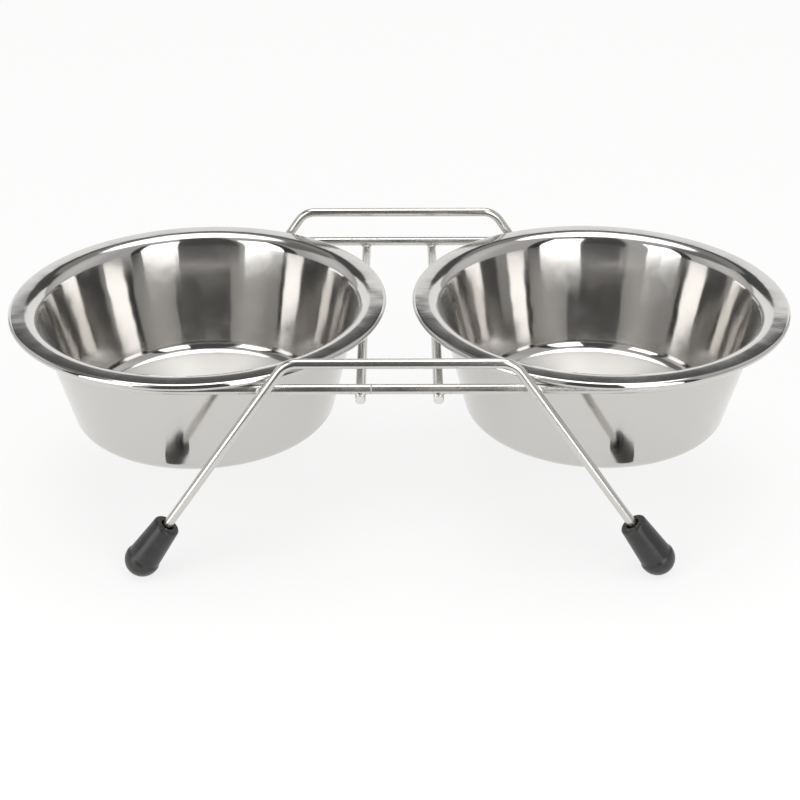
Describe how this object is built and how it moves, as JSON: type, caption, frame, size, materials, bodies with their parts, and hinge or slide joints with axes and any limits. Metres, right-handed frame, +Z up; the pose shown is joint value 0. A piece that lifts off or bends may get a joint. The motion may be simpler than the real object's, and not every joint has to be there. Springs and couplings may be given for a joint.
{
  "type": "double pet bowl",
  "caption": "Raised double feeder: round steel bowls with wide rolled rims hang in a welded wire stand with splayed legs and rubber tips, and lift out for washing.",
  "frame": {"origin": "on the floor under the middle of the stand", "axes": "+X along the pair of bowls, +Y from the front bar to the back bar, +Z up"},
  "size_m": [0.331, 0.1686, 0.0983],
  "materials": {
    "bowl_steel": "polished stainless steel, fine turned lines on the rim",
    "plated_wire": "bright nickel-chrome plated steel wire",
    "foot_rubber": "matt charcoal moulded rubber"
  },
  "bodies": {
    "stand": {"ring_frame": "plated_wire", "front_leg_wire": "plated_wire", "rear_leg_wire": "plated_wire", "crossbar_left": "plated_wire", "crossbar_right": "plated_wire", "front_left_foot": "foot_rubber", "front_right_foot": "foot_rubber", "rear_left_foot": "foot_rubber", "rear_right_foot": "foot_rubber"},
    "bowl_left": {"bowl_left": "bowl_steel"},
    "bowl_right": {"bowl_right": "bowl_steel"}
  },
  "joints": [
    {"name": "bowl_left_lift", "type": "slide", "parent": "stand", "child": "bowl_left", "axis": [0, 0, 1], "range_m": [0, 0.08]},
    {"name": "bowl_right_lift", "type": "slide", "parent": "stand", "child": "bowl_right", "axis": [0, 0, 1], "range_m": [0, 0.08]}
  ]
}
